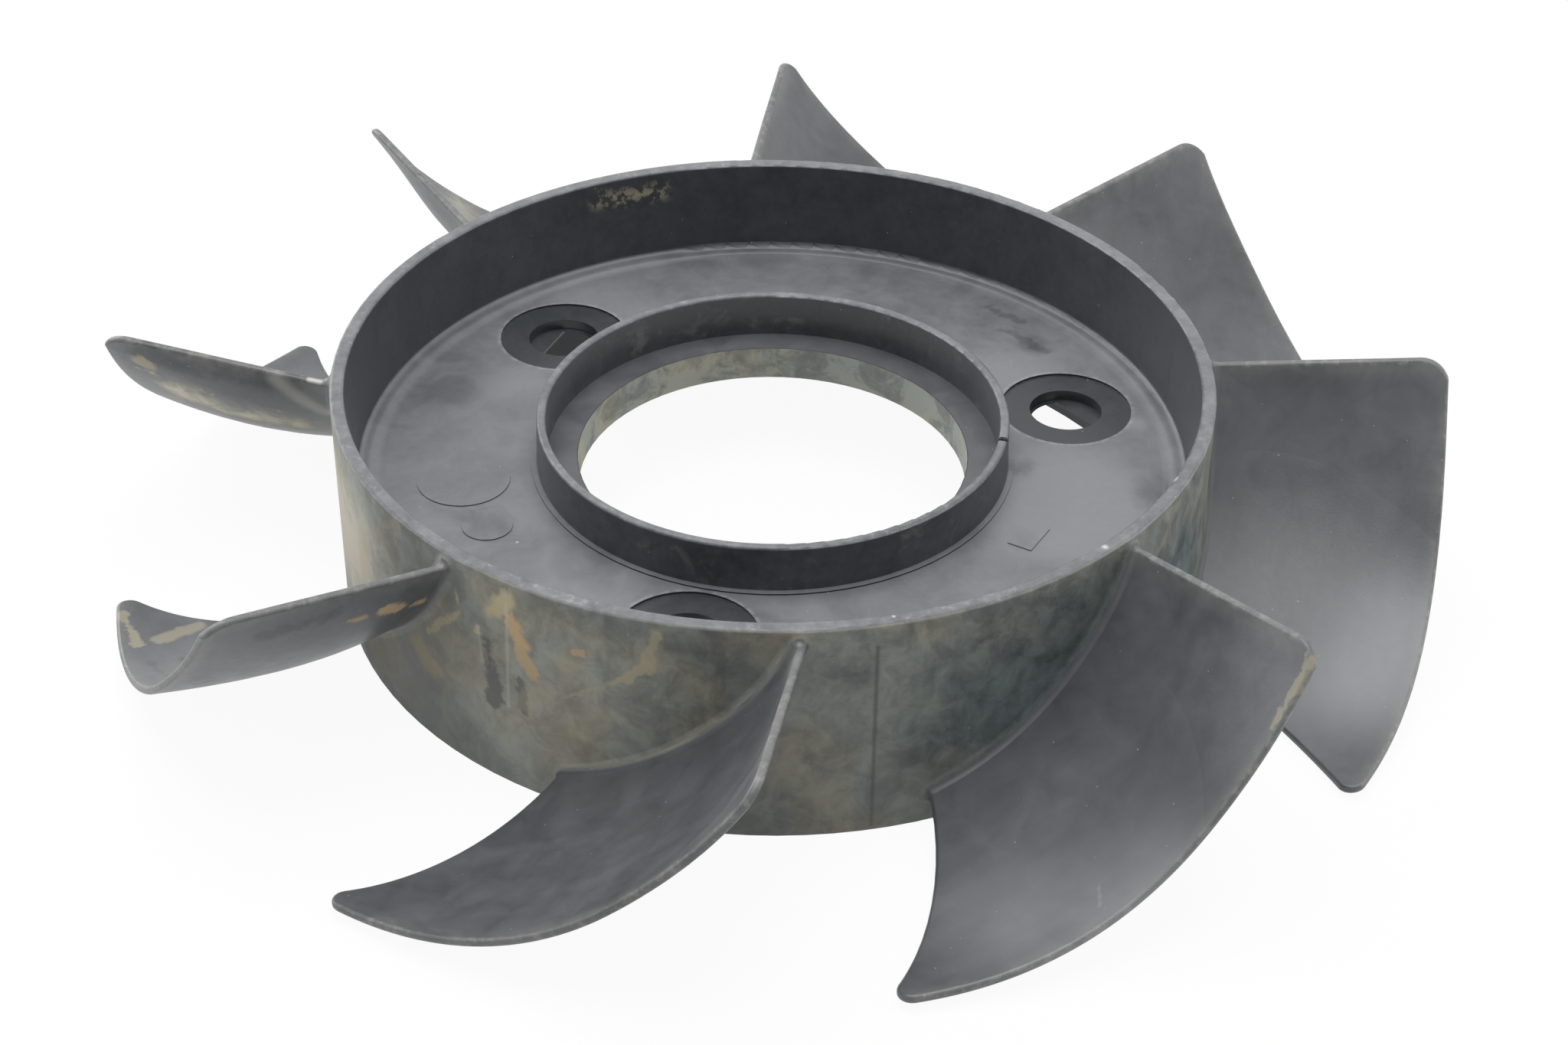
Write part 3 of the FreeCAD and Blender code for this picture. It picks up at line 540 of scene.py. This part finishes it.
# Specks are grains of grit stuck in the film, some millimetres apart.
GRIT_APART = 3.4
GRIT_LARGEST = 0.062
grit = tree.nodes.new("ShaderNodeTexVoronoi")
feed(tree, grit.inputs["Vector"], skin)
grit.inputs["Scale"].default_value = 1 / GRIT_APART
grit_pick = tree.nodes.new("ShaderNodeSeparateColor")
feed(tree, grit_pick.inputs[0], grit.outputs["Color"])
grit_size = calc(tree, "MULTIPLY", contrast(grit_pick.outputs[0], 0.25, 1.0), GRIT_LARGEST)
specks = soft_step(tree, calc(tree, "SUBTRACT", grit.outputs["Distance"], grit_size), 0.015, -0.015)

# The coats lie over the bare nylon in the order in which they came: film, dust,
# stains, and the scuffs and grit on top. Dark marks are where film and dust are gone.
EDGE_RUB_SHARE = 0.12
EDGE_LINE_SHARE = 0.14
GRIT_SHARE = 0.36
remaining = calc(tree, "SUBTRACT", 1.0, dark_marks)
film = calc(tree, "MULTIPLY", film, remaining, clamp=True)
dust = calc(tree, "MULTIPLY", dust, remaining, clamp=True)
colour = coat(tree, film, NYLON, COOL_FILM)
colour = coat(tree, dust, colour, dust_colour)
colour = coat(tree, calc(tree, "MULTIPLY", edge_rub, EDGE_RUB_SHARE), colour, WARM_DUST)
colour = coat(tree, tan_marks, colour, TAN)
colour = coat(tree, orange_marks, colour, ORANGE)
line_share = calc(tree, "MULTIPLY", strongest(tree, edge_line, rim_line), EDGE_LINE_SHARE)
colour = coat(tree, line_share, colour, SCUFF)
colour = coat(tree, strongest(tree, pale_marks, calc(tree, "MULTIPLY", specks, GRIT_SHARE)), colour, SCUFF)
feed(tree, shader.inputs["Base Color"], colour)

# Bare nylon is satin, and it is duller where dust or a stain lies.
matte = sway(0.39, mottle, 0.22)
matte = calc(tree, "MULTIPLY_ADD", dust, 0.45, matte)
matte = calc(tree, "MULTIPLY_ADD", strongest(tree, tan_marks, orange_marks), 0.25, matte)
feed(tree, shader.inputs["Roughness"], sway(matte, fine, 0.14))

# The tool left a fine grain in the surface.
relief = calc(tree, "MULTIPLY_ADD", grain, 0.02, calc(tree, "MULTIPLY", fine, 0.03))
bump = tree.nodes.new("ShaderNodeBump")
bump.inputs["Distance"].default_value = MM
bump.inputs["Strength"].default_value = 1.0
feed(tree, bump.inputs["Height"], relief)
feed(tree, shader.inputs["Normal"], bump.outputs[0])

for entry in impeller.material_slots:
    entry.material = nylon

# The camera stands in front of the impeller and looks down on it, as in the
# photograph: a short telephoto lens from about seven tenths of a metre.
look_from = math.radians(-106.2)
look_down = math.radians(35.21)
lean = 0.0139
distance = 0.7154
aim = Vector((3.16, -0.92, 10.25)) * MM
back = Vector(
    (
        math.cos(look_from) * math.cos(look_down),
        math.sin(look_from) * math.cos(look_down),
        math.sin(look_down),
    )
)
lens = bpy.data.cameras.new("camera")
lens.sensor_width = 36.0
lens.lens = 60.24
lens.clip_start = 0.05
lens.clip_end = 50
camera = bpy.data.objects.new("camera", lens)
camera.location = aim + back * distance
facing = (-back).to_track_quat("-Z", "Y").to_matrix() @ Matrix.Rotation(lean, 3, "Z")
camera.rotation_euler = facing.to_euler()
bpy.context.scene.collection.objects.link(camera)
bpy.context.scene.camera = camera

# The floor is a plain white sheet: white to the camera and in reflections, with a
# share of true shading left, so that the impeller's shadow stays on it.
FLOOR_WIDTH = 8
FLOOR_LEVEL = -0.0002
PAPER_GLOW = 0.94
bpy.ops.mesh.primitive_plane_add(size=FLOOR_WIDTH, location=(0, 0, FLOOR_LEVEL))
floor = bpy.context.object
floor.name = "floor"
paper = bpy.data.materials.new("white_paper")
paper.use_nodes = True
tree = paper.node_tree
shader = tree.nodes["Principled BSDF"]
shader.inputs["Base Color"].default_value = (0.85, 0.85, 0.85, 1)
shader.inputs["Roughness"].default_value = 0.9
glow = tree.nodes.new("ShaderNodeEmission")
glow.inputs["Strength"].default_value = 1.0
path = tree.nodes.new("ShaderNodeLightPath")
seen = strongest(tree, path.outputs["Is Camera Ray"], path.outputs["Is Glossy Ray"],
                 path.outputs["Is Transmission Ray"])
share = calc(tree, "MULTIPLY", seen, PAPER_GLOW)
join = tree.nodes.new("ShaderNodeMixShader")
feed(tree, join.inputs[0], share)
feed(tree, join.inputs[1], shader.outputs[0])
feed(tree, join.inputs[2], glow.outputs[0])
feed(tree, tree.nodes["Material Output"].inputs["Surface"], join.outputs[0])
floor.data.materials.append(paper)

# The light: a wide soft lamp overhead, four lower ones round it, and a pale room
# that is white to the camera and in reflections.
ROOM_LIGHT = 0.25
world = bpy.data.worlds.new("pale_room")
world.use_nodes = True
tree = world.node_tree
sky = tree.nodes["Background"]
sky.inputs["Color"].default_value = (1, 1, 1, 1)
path = tree.nodes.new("ShaderNodeLightPath")
seen = strongest(tree, path.outputs["Is Camera Ray"], path.outputs["Is Glossy Ray"],
                 path.outputs["Is Transmission Ray"])
feed(tree, sky.inputs["Strength"], calc(tree, "MULTIPLY_ADD", seen, 1 - ROOM_LIGHT, ROOM_LIGHT))
bpy.context.scene.world = world
lamps = [
    ("overhead", (0.0, 0.1, 1.6), 1.4, 21.7),
    ("left", (-1.25, 0.15, 0.60), 1.2, 3.8),
    ("right", (1.25, -0.30, 0.60), 1.2, 6.6),
    ("back_left", (-0.75, 1.10, 0.60), 1.0, 9.2),
    ("back", (0.35, 1.25, 0.85), 1.4, 1.5),
]
for name, stand, width, power in lamps:
    lamp_data = bpy.data.lights.new(name, "AREA")
    lamp_data.shape = "SQUARE"
    lamp_data.size = width
    lamp_data.energy = power
    lamp = bpy.data.objects.new(name, lamp_data)
    lamp.location = stand
    lamp.rotation_euler = (Vector((0, 0, 0.03)) - lamp.location).to_track_quat("-Z", "Y").to_euler()
    bpy.context.scene.collection.objects.link(lamp)

bpy.context.scene.view_settings.view_transform = "Standard"
